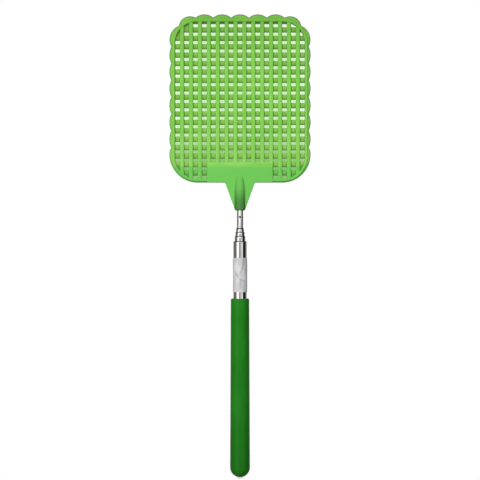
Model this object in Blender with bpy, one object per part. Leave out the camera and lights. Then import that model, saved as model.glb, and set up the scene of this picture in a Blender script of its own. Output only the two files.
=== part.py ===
"""A telescopic fly swatter: a moulded mesh paddle on a five-tube steel pole with a rubber grip.

It stands upright with the pole closed. The origin is the middle of the grip's lower end, +Z runs
up the pole to the paddle, and the paddle's front faces -Y. Each of the four inner tubes has a
turned foot in its lower end. Two sprung half shims ride in the foot's groove: they slide up the
next tube's bore, and the foot turns between them.
"""

import math

import bmesh
import bpy
from mathutils import Matrix, Vector

MM = 0.001

# Grip, moulded on the outer tube
GRIP_LENGTH = 107.1 * MM
GRIP_TOP_RADIUS = 5.52 * MM
GRIP_LOW_RADIUS = 5.95 * MM
GRIP_END_FLAT = 1.0 * MM
GRIP_TOP_ROUND = 0.8 * MM
GRIP_FLOOR = 4.7 * MM

# Pole: tubes 1 (at the paddle) to 5 (in the grip), outer radius and wall of each
TUBE_RADIUS = {1: 1.88 * MM, 2: 2.4 * MM, 3: 2.8 * MM, 4: 3.22 * MM, 5: 4.05 * MM}
TUBE_WALL = {1: 0.25 * MM, 2: 0.2 * MM, 3: 0.2 * MM, 4: 0.2 * MM, 5: 0.3 * MM}
OUTER_TUBE_BOTTOM = 5.0 * MM
OUTER_TUBE_TOP = 141.5 * MM
# How far each closed tube's end stands above the next larger tube's end
TUBE_SHOWS = {4: 3.1 * MM, 3: 2.4 * MM, 2: 2.4 * MM}
SHOULDER_HEIGHT = {5: 1.4 * MM, 4: 0.9 * MM, 3: 0.9 * MM, 2: 1.2 * MM}
SHOULDER_STEPS = 4
NECK_LIP = 0.3 * MM
NECK_LIP_TAPER = 0.7
NECK_CLEARANCE = 0.06 * MM
TIP_TUBE_TOP = 174.6 * MM
PUNCH_HOLE_RADIUS = 0.6 * MM
PUNCH_HOLE_HEIGHT = 156.0 * MM

# Feet and shims
PLUG_HEIGHT = 4.0 * MM
FLANGE_HEIGHT = 0.8 * MM
GROOVE_HEIGHT = 5.0 * MM
STEM_HEIGHT = 2.5 * MM
FOOT_VENT_RADIUS = 0.8 * MM
FLANGE_CLEARANCE = 0.07 * MM
SHIM_CLEARANCE = 0.05 * MM
SHIM_THICKNESS = 0.17 * MM
SHIM_ARC = math.radians(160)
SEAT_GAP = 0.1 * MM
REST_GAP = 0.3 * MM
FIT_GAP = 0.05 * MM

# Paper band round the outer tube
LABEL_BOTTOM = 111.1 * MM
LABEL_TOP = 131.5 * MM
LABEL_THICKNESS = 0.15 * MM

# Paddle: a lattice of upright ribs in front of level ribs, in a raised rim with a scalloped edge
PADDLE_BOTTOM = 176.6 * MM
COLUMNS, ROWS = 15, 19
COLUMN_PITCH, ROW_PITCH = 5.34 * MM, 5.05 * MM
HOLE_WIDTH, HOLE_HEIGHT = 2.76 * MM, 1.8 * MM
TOP_LEDGE = 0.9 * MM
LATTICE_HALF_DEPTH = 1.2 * MM
RIB_OVERLAP = 0.2 * MM
RIM_WIDTH = 2.2 * MM
RIM_HALF_DEPTH = 1.5 * MM
RIM_INNER_ROUND = 12.8 * MM
EDGE_HALF_DEPTH = 0.6 * MM
EDGE_MARGIN = {"bottom": 0.3 * MM, "side": 0.3 * MM, "top": 0.7 * MM}
SCALLOP_RISE = {"side": 1.1 * MM, "top": 2.0 * MM, "corner": 2.9 * MM}
# The scallops meet at these pitches from the middle column, and below these rows from the top
TOP_CUSPS = (1, 3, 5)
SIDE_CUSPS = (2, 4, 6, 8, 10, 12, 14)
LOW_CORNER_ROUND = 17.0 * MM
LOW_CORNER_START = math.radians(7)
WEB_DEPTH = (0.05 * MM, 0.95 * MM)
# The lattice corners closed by a thin web, as (side, up): the top right one is open
WEBBED_CORNERS = ((-1, 1), (-1, -1), (1, -1))

# Yoke: the plain plate and the neck that join the paddle to the tip tube
PLATE_COLUMNS, PLATE_ROWS = 7, 2
PLATE_MARGIN = 0.3 * MM
YOKE_HALF_DEPTH = 1.55 * MM
NECK_BOTTOM = 160.1 * MM
NECK_TOP_HALF_WIDTH = 8.9 * MM
NECK_LOW_HALF_WIDTH = 3.4 * MM
NECK_LOW_HEIGHT = 161.3 * MM
NECK_FILLET = 1.0 * MM
BOSS_BOTTOM = 159.9 * MM
BOSS_LOW_RADIUS = 3.3 * MM
BOSS_TOP_RADIUS = 3.16 * MM
BOSS_STRAIGHT_TOP = 172.2 * MM
BOSS_TIP = 182.5 * MM
BOSS_CHAMFER = 1.0 * MM
SOCKET_DEPTH_GAP = 0.4 * MM

ROUND_STEPS = 24
HOLE_STEPS = 12
ARC_STEPS = 6
SMALL_ARC_STEPS = 3
CUT_PAST = 1.0 * MM

# Rim and lattice sizes that follow from the ones above
RIB_WIDTH = COLUMN_PITCH - HOLE_WIDTH
RIB_HEIGHT = ROW_PITCH - HOLE_HEIGHT
RIM_INNER_HALF_WIDTH = (COLUMNS - 1) / 2 * COLUMN_PITCH + HOLE_WIDTH / 2
RIM_INNER_BOTTOM = PADDLE_BOTTOM + EDGE_MARGIN["bottom"] + RIM_WIDTH
LOW_ROW = RIM_INNER_BOTTOM + HOLE_HEIGHT / 2
TOP_ROW = LOW_ROW + (ROWS - 1) * ROW_PITCH
RIM_INNER_TOP = TOP_ROW + HOLE_HEIGHT / 2 + TOP_LEDGE
RIM_OUTER_HALF_WIDTH = RIM_INNER_HALF_WIDTH + RIM_WIDTH
RIM_OUTER_TOP = RIM_INNER_TOP + RIM_WIDTH
RIM_OUTER_ROUND = RIM_INNER_ROUND + RIM_WIDTH
FOOT_SPOOL = 2 * FLANGE_HEIGHT + GROOVE_HEIGHT


# ---------------------------------------------------------------- helpers


def clear_scene():
    for obj in list(bpy.data.objects):
        bpy.data.objects.remove(obj, do_unlink=True)


def make_material(name, colour, roughness, metallic=0.0):
    material = bpy.data.materials.new(name)
    material.use_nodes = True
    shader = material.node_tree.nodes["Principled BSDF"]
    shader.inputs["Base Color"].default_value = (*colour, 1.0)
    shader.inputs["Roughness"].default_value = roughness
    shader.inputs["Metallic"].default_value = metallic
    return material


def add_object(name, bm, material=None, parent=None):
    """Makes a closed, smooth-shaded object from the bmesh, in its parent's frame."""
    bmesh.ops.recalc_face_normals(bm, faces=bm.faces)
    mesh = bpy.data.meshes.new(name)
    bm.to_mesh(mesh)
    bm.free()
    mesh.shade_smooth()
    mesh.set_sharp_from_angle(angle=math.radians(35))
    obj = bpy.data.objects.new(name, mesh)
    bpy.context.scene.collection.objects.link(obj)
    if material:
        mesh.materials.append(material)
    obj.parent = parent
    return obj


def add_empty(name, height, parent=None):
    """An empty on the pole's axis, at a height above its parent."""
    empty = bpy.data.objects.new(name, None)
    bpy.context.scene.collection.objects.link(empty)
    empty.location.z = height
    empty.parent = parent
    return empty


def combine(target, helper, operation):
    """Adds or cuts a helper shape, which itself isn't part of the object."""
    modifier = target.modifiers.new(f"{operation.lower()} {helper.name}", "BOOLEAN")
    modifier.operation = operation
    modifier.object = helper
    modifier.solver = "EXACT"
    helper.hide_render = True
    helper.display_type = "WIRE"


def turned(profile, steps=ROUND_STEPS):
    """Spins a closed loop of (radius, height) points round the Z axis."""
    bm = bmesh.new()
    points = [bm.verts.new((radius, 0, height)) for radius, height in profile]
    edges = []
    for first, second in zip(points, points[1:] + points[:1]):
        on_axis = first.co.x == 0 and second.co.x == 0
        if not on_axis:
            edges.append(bm.edges.new((first, second)))
    bmesh.ops.spin(
        bm,
        geom=points + edges,
        cent=(0, 0, 0),
        axis=(0, 0, 1),
        angle=math.tau,
        steps=steps,
        use_merge=True,
    )
    bmesh.ops.remove_doubles(bm, verts=bm.verts, dist=1e-6)
    return bm


def prism(outline, low, high):
    """Extrudes an (x, z) outline from y = low to y = high."""
    bm = bmesh.new()
    face = bm.faces.new([bm.verts.new((x, low, z)) for x, z in outline])
    made = bmesh.ops.extrude_face_region(bm, geom=[face])
    moved = [v for v in made["geom"] if isinstance(v, bmesh.types.BMVert)]
    bmesh.ops.translate(bm, verts=moved, vec=(0, high - low, 0))
    return bm


def add_box(bm, low, high):
    centre = (Vector(low) + Vector(high)) / 2
    size = Vector(high) - Vector(low)
    bmesh.ops.create_cube(bm, size=1, matrix=Matrix.Translation(centre) @ Matrix.Diagonal((*size, 1)))


def arc(centre, radius, start, end, steps=ARC_STEPS):
    """Points on a circle from one angle to another, both ends included."""
    angles = [start + (end - start) * i / steps for i in range(steps + 1)]
    return [(centre[0] + radius * math.cos(a), centre[1] + radius * math.sin(a)) for a in angles]


def bulge(start, end, rise, steps=ARC_STEPS):
    """Points of a circular arc that rises to the left of start to end, without its end point."""
    chord = Vector(end) - Vector(start)
    half = chord.length / 2
    radius = (half * half + rise * rise) / (2 * rise)
    left = Vector((-chord.y, chord.x)).normalized()
    centre = (Vector(start) + Vector(end)) / 2 - left * (radius - rise)
    spread = math.asin(half / radius)
    middle = math.atan2(left.y, left.x)
    return arc(centre, radius, middle + spread, middle - spread, steps)[:-1]


def rounded_rectangle(half_width, bottom, top, radius):
    """A rectangle centred on x = 0 with round corners."""
    x, low, high = half_width - radius, bottom + radius, top - radius
    quarter = math.pi / 2
    corners = ((x, high), (-x, high), (-x, low), (x, low))
    outline = []
    for i, corner in enumerate(corners):
        outline += arc(corner, radius, i * quarter, (i + 1) * quarter, 2 * ARC_STEPS)
    return outline


# ---------------------------------------------------------------- pole


def bore_radius(number):
    return TUBE_RADIUS[number] - TUBE_WALL[number]


def neck_bore_radius(number):
    """The rolled-in end of a tube guides the next smaller tube."""
    return TUBE_RADIUS[number - 1] + NECK_CLEARANCE


def tube_profile(number, bottom, top):
    """A straight tube whose top end is rolled in round the next smaller tube."""
    radius, wall, neck = TUBE_RADIUS[number], TUBE_WALL[number], neck_bore_radius(number)
    shoulder = top - NECK_LIP - SHOULDER_HEIGHT[number]
    angles = [math.pi / 2 * i / SHOULDER_STEPS for i in range(SHOULDER_STEPS + 1)]

    def shoulder_curve(start_radius, end_radius):
        """A quarter of an ellipse, upright at the tube's side and level at its end."""
        inward, height = end_radius - start_radius, SHOULDER_HEIGHT[number]
        return [(start_radius + inward * (1 - math.cos(a)), shoulder + height * math.sin(a)) for a in angles]

    outside = [(radius, bottom)] + shoulder_curve(radius, neck + wall)
    lip = [(neck + wall * NECK_LIP_TAPER, top), (neck, top)]
    inside = shoulder_curve(radius - wall, neck)[::-1]
    return outside + lip + inside + [(radius - wall, bottom)]


def tip_tube(material, parent, bottom, top):
    radius, wall = TUBE_RADIUS[1], TUBE_WALL[1]
    profile = [(radius, bottom), (radius, top), (radius - wall, top), (radius - wall, bottom)]
    tube = add_object("tube_1_tip", turned(profile), material, parent)
    drill = bmesh.new()
    length = radius + CUT_PAST
    turn = Matrix.Rotation(math.pi / 2, 4, "X")
    place = Matrix.Translation((0, -length / 2, PUNCH_HOLE_HEIGHT - stage_bottom(1)))
    bmesh.ops.create_cone(
        drill,
        cap_ends=True,
        segments=HOLE_STEPS,
        radius1=PUNCH_HOLE_RADIUS,
        radius2=PUNCH_HOLE_RADIUS,
        depth=length,
        matrix=place @ turn,
    )
    combine(tube, add_object("punch_hole_cutter", drill, parent=parent), "DIFFERENCE")
    return tube


def foot(number, material, parent):
    """A turned spool below the tube, with a stem pressed into it and a vent hole through it."""
    flange = bore_radius(number + 1) - FLANGE_CLEARANCE
    groove = shim_inner_radius(number) - FIT_GAP
    stem = bore_radius(number) - FIT_GAP
    profile = [
        (FOOT_VENT_RADIUS, 0),
        (flange, 0),
        (flange, FLANGE_HEIGHT),
        (groove, FLANGE_HEIGHT),
        (groove, FLANGE_HEIGHT + GROOVE_HEIGHT),
        (flange, FLANGE_HEIGHT + GROOVE_HEIGHT),
        (flange, FOOT_SPOOL),
        (stem, FOOT_SPOOL),
        (stem, FOOT_SPOOL + STEM_HEIGHT),
        (FOOT_VENT_RADIUS, FOOT_SPOOL + STEM_HEIGHT),
    ]
    return add_object(f"foot_{number}", turned(profile), material, parent)


def shim_outer_radius(number):
    return bore_radius(number + 1) - SHIM_CLEARANCE


def shim_inner_radius(number):
    return shim_outer_radius(number) - SHIM_THICKNESS


def shims(number, material, parent):
    """Two sprung half rings that fill the foot's groove and rub on the next tube's bore."""
    bottom = FLANGE_HEIGHT + SEAT_GAP
    top = FLANGE_HEIGHT + GROOVE_HEIGHT - SEAT_GAP
    steps = 2 * ARC_STEPS
    for side, middle in (("right", 0), ("left", math.pi)):
        start, end = middle - SHIM_ARC / 2, middle + SHIM_ARC / 2
        outside = arc((0, 0), shim_outer_radius(number), start, end, steps)
        inside = arc((0, 0), shim_inner_radius(number), end, start, steps)
        bm = prism(outside + inside, 0, top - bottom)
        # The prism grows along Y, so it is stood up with its length along Z.
        stand = Matrix.Translation((0, 0, bottom)) @ Matrix.Rotation(math.pi / 2, 4, "X")
        bmesh.ops.transform(bm, matrix=stand, verts=bm.verts)
        add_object(f"friction_shim_{number}_{side}", bm, material, parent)


def stage_bottom(number):
    """Height of a closed stage's foot: each foot stands on the stem of the one below."""
    if number == 4:
        return OUTER_TUBE_BOTTOM + PLUG_HEIGHT + REST_GAP
    return stage_bottom(number + 1) + FOOT_SPOOL + STEM_HEIGHT + REST_GAP


def tube_top(number):
    if number == 5:
        return OUTER_TUBE_TOP
    if number == 1:
        return TIP_TUBE_TOP
    return tube_top(number + 1) + TUBE_SHOWS[number]


def stage_travel(number):
    """How far a stage slides before its foot meets the next tube's shoulder."""
    shoulder = tube_top(number + 1) - NECK_LIP - SHOULDER_HEIGHT[number + 1]
    return shoulder - REST_GAP - (stage_bottom(number) + FOOT_SPOOL)


def stage(number, steel, brass, bronze, parent):
    """One stage: its shims slide with one empty, and its tube and foot turn with a second one."""
    parent_height = 0 if number == 4 else stage_bottom(number + 1)
    slide = add_empty(f"stage_{number}_slide", stage_bottom(number) - parent_height, parent)
    slide["travel"] = stage_travel(number)
    shims(number, bronze, slide)
    turn = add_empty(f"stage_{number}_turn", 0, slide)
    foot(number, brass, turn)
    low = FOOT_SPOOL + SEAT_GAP
    high = tube_top(number) - stage_bottom(number)
    if number == 1:
        tip_tube(steel, turn, low, high)
    else:
        add_object(f"tube_{number}", turned(tube_profile(number, low, high)), steel, turn)
    return turn


# ---------------------------------------------------------------- handle


def grip(material, parent):
    bore = TUBE_RADIUS[5] + FIT_GAP
    flat_angle = math.acos(GRIP_END_FLAT / GRIP_LOW_RADIUS)
    end_centre = (0, GRIP_LOW_RADIUS * math.sin(flat_angle))
    top_centre = (GRIP_TOP_RADIUS - GRIP_TOP_ROUND, GRIP_LENGTH - GRIP_TOP_ROUND)
    profile = [(0, 0)]
    profile += arc(end_centre, GRIP_LOW_RADIUS, -flat_angle, 0)
    profile += arc(top_centre, GRIP_TOP_ROUND, 0, math.pi / 2, SMALL_ARC_STEPS)
    profile += [(bore, GRIP_LENGTH), (bore, GRIP_FLOOR), (0, GRIP_FLOOR)]
    return add_object("grip", turned(profile), material, parent)


def outer_tube(material, parent):
    profile = tube_profile(5, OUTER_TUBE_BOTTOM, OUTER_TUBE_TOP)
    return add_object("tube_5_outer", turned(profile), material, parent)


def base_plug(material, parent):
    """Closes the outer tube's lower end, and the closed stages stand on it."""
    radius = bore_radius(5) - FIT_GAP
    low, high = OUTER_TUBE_BOTTOM, OUTER_TUBE_BOTTOM + PLUG_HEIGHT
    profile = [(FOOT_VENT_RADIUS, low), (radius, low), (radius, high), (FOOT_VENT_RADIUS, high)]
    return add_object("base_plug", turned(profile), material, parent)


def label_band(material, parent):
    inner = TUBE_RADIUS[5] + FIT_GAP
    outer = inner + LABEL_THICKNESS
    profile = [(inner, LABEL_BOTTOM), (outer, LABEL_BOTTOM), (outer, LABEL_TOP), (inner, LABEL_TOP)]
    return add_object("label_band", turned(profile), material, parent)


# ---------------------------------------------------------------- paddle


def column_x(index):
    return (index - (COLUMNS - 1) / 2) * COLUMN_PITCH


def row_z(index):
    return LOW_ROW + index * ROW_PITCH


def scalloped_outline():
    """The paddle's outer edge: scallops two holes wide on the top and sides, plain at the bottom."""
    half_width = RIM_OUTER_HALF_WIDTH + EDGE_MARGIN["side"]
    top = RIM_OUTER_TOP + EDGE_MARGIN["top"]
    corner_centre = (RIM_OUTER_HALF_WIDTH - RIM_OUTER_ROUND, RIM_OUTER_TOP - RIM_OUTER_ROUND)
    corner_radius = RIM_OUTER_ROUND + EDGE_MARGIN["side"]
    corner_cusp = arc(corner_centre, corner_radius, math.pi / 4, math.pi / 4, 1)[0]
    top_cusps = [(pitches * COLUMN_PITCH, top) for pitches in TOP_CUSPS]
    side_cusps = [(half_width, row_z(ROWS - 1.5 - row)) for row in SIDE_CUSPS]
    low_corner_x = half_width + SCALLOP_RISE["side"] - LOW_CORNER_ROUND
    low_corner = (low_corner_x, PADDLE_BOTTOM + LOW_CORNER_ROUND)

    right = []
    for start, end in zip(top_cusps, top_cusps[1:]):
        right += bulge(start, end, SCALLOP_RISE["top"])
    right += bulge(top_cusps[-1], corner_cusp, SCALLOP_RISE["corner"])
    right += bulge(corner_cusp, side_cusps[0], SCALLOP_RISE["corner"])
    for start, end in zip(side_cusps, side_cusps[1:]):
        right += bulge(start, end, SCALLOP_RISE["side"])
    right.append(side_cusps[-1])
    right += arc(low_corner, LOW_CORNER_ROUND, LOW_CORNER_START, -math.pi / 2, 2 * ARC_STEPS)

    left = [(-x, z) for x, z in reversed(right)]
    crown = bulge(left[-1], right[0], SCALLOP_RISE["top"])[1:]
    return right + left + crown


def lattice():
    """Upright ribs in front, level ribs behind, and thin webs that close the tight corners."""
    reach = RIM_WIDTH / 2
    uprights = bmesh.new()
    for index in range(COLUMNS - 1):
        middle = column_x(index + 0.5)
        low = (middle - RIB_WIDTH / 2, -LATTICE_HALF_DEPTH, RIM_INNER_BOTTOM - reach)
        high = (middle + RIB_WIDTH / 2, RIB_OVERLAP, RIM_INNER_TOP + reach)
        add_box(uprights, low, high)
    levels = bmesh.new()
    # The last level rib is the ledge between the top row and the rim.
    for index in range(ROWS):
        middle = row_z(index + 0.5)
        low = (-RIM_INNER_HALF_WIDTH - reach, -RIB_OVERLAP, middle - RIB_HEIGHT / 2)
        high = (RIM_INNER_HALF_WIDTH + reach, LATTICE_HALF_DEPTH, middle + RIB_HEIGHT / 2)
        add_box(levels, low, high)
    ribs = add_object("upright_ribs_shape", uprights)
    combine(ribs, add_object("level_ribs_shape", levels), "UNION")
    for side, up in WEBBED_CORNERS:
        combine(ribs, corner_web(side, up), "UNION")
    inside = rounded_rectangle(
        RIM_INNER_HALF_WIDTH + reach,
        RIM_INNER_BOTTOM - reach,
        RIM_INNER_TOP + reach,
        RIM_INNER_ROUND + reach,
    )
    depth = LATTICE_HALF_DEPTH + CUT_PAST
    trim = add_object("lattice_trim_shape", prism(inside, -depth, depth))
    combine(ribs, trim, "INTERSECT")
    return ribs


def corner_web(side, up):
    """An L-shaped web over the three corner holes: two in the end row and one in the next."""
    half = RIM_INNER_HALF_WIDTH + RIM_WIDTH / 2
    two_in = column_x(COLUMNS - 1) - 1.5 * COLUMN_PITCH
    one_in = column_x(COLUMNS - 1) - 0.5 * COLUMN_PITCH
    middle = (LOW_ROW + TOP_ROW) / 2
    end = RIM_INNER_TOP - middle + RIM_WIDTH / 2
    one_down = TOP_ROW - middle - 0.5 * ROW_PITCH
    two_down = TOP_ROW - middle - 1.5 * ROW_PITCH
    end_row = [(two_in, one_down), (two_in, end), (half, end)]
    next_row = [(half, two_down), (one_in, two_down), (one_in, one_down)]
    outline = [(side * x, middle + up * z) for x, z in end_row + next_row]
    return add_object(f"corner_web_{side}_{up}_shape", prism(outline, *WEB_DEPTH))


def yoke():
    """The plain plate over the lowest middle holes, and the neck that narrows down to the tube."""
    plate_half = (PLATE_COLUMNS * COLUMN_PITCH + RIB_WIDTH) / 2 - PLATE_MARGIN
    plate_top = row_z(PLATE_ROWS - 0.5) + RIB_HEIGHT / 2 - PLATE_MARGIN
    slope = math.atan2(PADDLE_BOTTOM - NECK_LOW_HEIGHT, NECK_TOP_HALF_WIDTH - NECK_LOW_HALF_WIDTH)
    # A fillet between the level bottom edge and the sloping neck side
    setback = NECK_FILLET / math.tan((math.pi - slope) / 2)
    centre = (NECK_TOP_HALF_WIDTH + setback, PADDLE_BOTTOM - NECK_FILLET)
    fillet = arc(centre, NECK_FILLET, math.pi / 2, math.pi / 2 + slope, SMALL_ARC_STEPS)
    right = [(plate_half, plate_top), (plate_half, PADDLE_BOTTOM)] + fillet
    right += [(NECK_LOW_HALF_WIDTH, NECK_LOW_HEIGHT), (NECK_LOW_HALF_WIDTH - BOSS_CHAMFER, NECK_BOTTOM)]
    left = [(-x, z) for x, z in reversed(right)]
    return add_object("yoke_shape", prism(right + left, -YOKE_HALF_DEPTH, YOKE_HALF_DEPTH))


def boss():
    """The round body of the neck, which fades out in the plate as a pointed arch."""
    low = BOSS_BOTTOM
    profile = [(0, low), (BOSS_LOW_RADIUS - BOSS_CHAMFER, low), (BOSS_LOW_RADIUS, low + BOSS_CHAMFER)]
    for angle in (math.pi / 2 * i / ARC_STEPS for i in range(ARC_STEPS)):
        height = BOSS_STRAIGHT_TOP + (BOSS_TIP - BOSS_STRAIGHT_TOP) * math.sin(angle)
        profile.append((BOSS_TOP_RADIUS * math.cos(angle), height))
    return add_object("boss_shape", turned(profile + [(0, BOSS_TIP)]))


def socket():
    """The blind hole that takes the tip tube."""
    radius = TUBE_RADIUS[1] + FIT_GAP
    low, high = NECK_BOTTOM - CUT_PAST, TIP_TUBE_TOP + SOCKET_DEPTH_GAP
    return add_object("socket_shape", turned([(0, low), (radius, low), (radius, high), (0, high)]))


def paddle(material, parent):
    """The whole moulding. It is modelled in the row frame and hung on the tip stage."""
    half_width, bottom, top = RIM_OUTER_HALF_WIDTH, RIM_INNER_BOTTOM - RIM_WIDTH, RIM_OUTER_TOP
    rim = rounded_rectangle(half_width, bottom, top, RIM_OUTER_ROUND)
    paddle = add_object("swatter_paddle", prism(rim, -RIM_HALF_DEPTH, RIM_HALF_DEPTH), material)
    edge = prism(scalloped_outline(), -EDGE_HALF_DEPTH, EDGE_HALF_DEPTH)
    combine(paddle, add_object("scalloped_edge_shape", edge), "UNION")
    window = rounded_rectangle(RIM_INNER_HALF_WIDTH, RIM_INNER_BOTTOM, RIM_INNER_TOP, RIM_INNER_ROUND)
    depth = RIM_HALF_DEPTH + CUT_PAST
    combine(paddle, add_object("window_shape", prism(window, -depth, depth)), "DIFFERENCE")
    combine(paddle, lattice(), "UNION")
    combine(paddle, yoke(), "UNION")
    combine(paddle, boss(), "UNION")
    combine(paddle, socket(), "DIFFERENCE")
    paddle.parent = parent
    paddle.location.z = -stage_bottom(1)
    return paddle


# ---------------------------------------------------------------- assembly


def main():
    clear_scene()
    leaf_green = make_material("leaf_green_plastic", (0.15, 0.56, 0.10), 0.42)
    grip_green = make_material("dark_green_rubber", (0.02, 0.19, 0.014), 0.5)
    steel = make_material("bright_steel", (0.72, 0.71, 0.69), 0.16, 1.0)
    brass = make_material("turned_brass", (0.70, 0.50, 0.22), 0.35, 1.0)
    bronze = make_material("spring_bronze", (0.62, 0.36, 0.18), 0.38, 1.0)
    paper = make_material("white_paper", (0.80, 0.80, 0.82), 0.55)
    plug_grey = make_material("grey_nylon", (0.16, 0.16, 0.16), 0.5)

    handle = add_empty("handle", 0)
    grip(grip_green, handle)
    outer_tube(steel, handle)
    base_plug(plug_grey, handle)
    label_band(paper, handle)
    below = handle
    for number in (4, 3, 2, 1):
        below = stage(number, steel, brass, bronze, below)
    paddle(leaf_green, below)


main()
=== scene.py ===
"""The looks of the telescopic fly swatter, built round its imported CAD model.

Each CAD node gets a finer piece in its place: a moulded mesh paddle, drawn steel tubes with
rolled-in ends, turned feet, sprung shims, a creased paper wrap and a soft grip. Lengths are in
millimetres until a piece is made, and its vertices are then in metres. Positions come from the
boxes of the CAD nodes.
"""

import math

import bmesh
import bpy
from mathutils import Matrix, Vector, noise


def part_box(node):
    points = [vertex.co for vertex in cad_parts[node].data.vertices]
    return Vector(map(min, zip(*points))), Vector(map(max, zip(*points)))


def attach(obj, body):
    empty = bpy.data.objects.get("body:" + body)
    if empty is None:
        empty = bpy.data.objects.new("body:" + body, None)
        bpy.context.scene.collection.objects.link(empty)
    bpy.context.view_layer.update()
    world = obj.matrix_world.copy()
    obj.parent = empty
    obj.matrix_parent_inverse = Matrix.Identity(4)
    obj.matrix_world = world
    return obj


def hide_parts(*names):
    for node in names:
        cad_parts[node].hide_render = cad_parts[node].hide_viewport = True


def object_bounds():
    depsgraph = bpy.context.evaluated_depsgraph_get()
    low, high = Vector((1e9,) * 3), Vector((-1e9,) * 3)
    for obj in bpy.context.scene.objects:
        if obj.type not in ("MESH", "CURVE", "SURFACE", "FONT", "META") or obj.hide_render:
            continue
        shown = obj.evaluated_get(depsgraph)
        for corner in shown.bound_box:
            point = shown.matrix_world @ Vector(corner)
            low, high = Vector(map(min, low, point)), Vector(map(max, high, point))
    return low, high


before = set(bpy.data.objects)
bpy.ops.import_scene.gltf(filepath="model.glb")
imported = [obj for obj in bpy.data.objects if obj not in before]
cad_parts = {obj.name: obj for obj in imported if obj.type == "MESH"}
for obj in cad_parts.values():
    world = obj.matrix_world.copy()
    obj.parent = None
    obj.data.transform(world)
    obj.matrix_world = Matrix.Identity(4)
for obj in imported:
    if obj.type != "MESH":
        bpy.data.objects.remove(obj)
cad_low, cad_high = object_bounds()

MM = 0.001

# Paddle: 15 by 19 holes, upright ribs in front of level ribs
COLUMNS, ROWS = 15, 19
COLUMN_PITCH, ROW_PITCH = 5.34, 5.05
HOLE_WIDTH, HOLE_HEIGHT, TOP_LEDGE = 2.76, 1.8, 0.9
COLUMN_RIB, ROW_RIB = COLUMN_PITCH - HOLE_WIDTH, ROW_PITCH - HOLE_HEIGHT
LATTICE_HALF_DEPTH, RIB_BACK_ROUND = 1.2, 0.3
# A rib's crown, shoulder and back, as depths from the middle, and its squareness
UPRIGHT_RIB = (-LATTICE_HALF_DEPTH, -0.3, 0.5, 3.0)
LEVEL_RIB = (-0.1, 0.85, LATTICE_HALF_DEPTH, 2.0)
RIM_WIDTH, RIM_HALF_DEPTH, RIM_INNER_ROUND, RIM_SQUARENESS = 2.2, 1.5, 12.8, 1.9
EDGE_HALF_DEPTH, EDGE_ROUND, EDGE_TAPER = 0.6, 0.55, 1.3
TOP_MARGIN, SIDE_MARGIN, BOTTOM_MARGIN = 0.7, 0.3, 0.3
TOP_RISE, SIDE_RISE, CORNER_RISE = 2.0, 1.1, 2.9
LOW_CORNER_ROUND, LOW_CORNER_START = 17.0, math.radians(7)
# Where two scallops meet, in columns from the middle and in rows below the top
TOP_CUSPS = (1, 3, 5)
SIDE_CUSPS = (2, 4, 6, 8, 10, 12, 14)
# The corners closed by a thin web, as (side, up)
WEB_FRONT, WEB_BACK = 0.05, 0.95
WEBBED_CORNERS = ((-1, 1), (-1, -1), (1, -1))

# Yoke: the plain plate, and the neck and round boss that hold the tip tube
PLATE_COLUMNS, PLATE_ROWS, PLATE_MARGIN = 7, 2, 0.3
YOKE_HALF_DEPTH, YOKE_ROUND = 1.55, 0.5
PLATE_TOP_SLOPE = 1.9
NECK_TOP_HALF_WIDTH, NECK_LOW_HALF_WIDTH = 8.9, 3.4
NECK_LOW_ABOVE_END = 1.4
NECK_FILLET = 1.0
BOSS_LOW_RADIUS, BOSS_TOP_RADIUS, BOSS_END_ROUND = 3.3, 3.16, 1.0
BOSS_STRAIGHT, BOSS_POINT = 12.3, 10.3
SOCKET_ABOVE_TUBE, PADDLE_SHARP_ANGLE = 0.4, 38

# Pole
PRESS_GAP, CUT_MARGIN = 0.05, 1
TUBE_WALL = {1: 0.25, 2: 0.2, 3: 0.2, 4: 0.2, 5: 0.3}
SHOULDER_HEIGHT = {5: 0.4, 4: 1.0, 3: 1.0, 2: 1.2}
SHOULDER_RING, NECK_LIP, NECK_CLEARANCE, LIP_ROUND_SHARE = 0.1, 0.15, 0.06, 0.45
PUNCH_HOLE_RADIUS, PUNCH_HOLE_BELOW_TOP = 0.6, 18.6
VENT_RADIUS, FOOT_EDGE, GROOVE_PLAY, SPOOL_GAP = 0.8, 0.12, 0.1, 0.1
SHIM_THICKNESS, SHIM_GAP, SHIM_HALF_TURN = 0.17, 0.05, math.radians(80)
PLUG_EDGE = 0.2

# Grip
GRIP_FLAT_RADIUS, GRIP_TOP_RADIUS, GRIP_TOP_ROUND = 1.0, 5.52, 0.8
GRIP_FLOOR, GRIP_RINGS, GRIP_STEPS = 4.7, 40, 128

# Fineness
ROUND_STEPS, FOOT_STEPS, ARC_STEPS = 96, 64, 12
SHARP_ANGLE, WELD_REACH = 35, 0.002

# Paper wrap. A turn is in degrees from the front, positive to the right, and a height is a share of
# the wrap's own.
WRAP_SEAM = math.radians(75)
WRAP_COLUMNS, WRAP_ROWS, WRAP_SHARP_ANGLE = 240, 120, 50
WRAP_THICKNESS, WRAP_GAP, WRAP_PROUD = 0.02, 0.02, 0.11
WRAP_LAP, WRAP_LAP_SHARE = 0.07, 0.12
WRAP_SLACK, RIPPLES_ROUND, RIPPLES_UP = 0.055, 2.4, 6
# Where the paper is pulled tight: its depth, then (middle, reach) as turns and as heights
WRAP_PINCH, PINCH_TURNS, PINCH_HEIGHTS = 0.12, (-80, 50), (0.38, 0.26)
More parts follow.
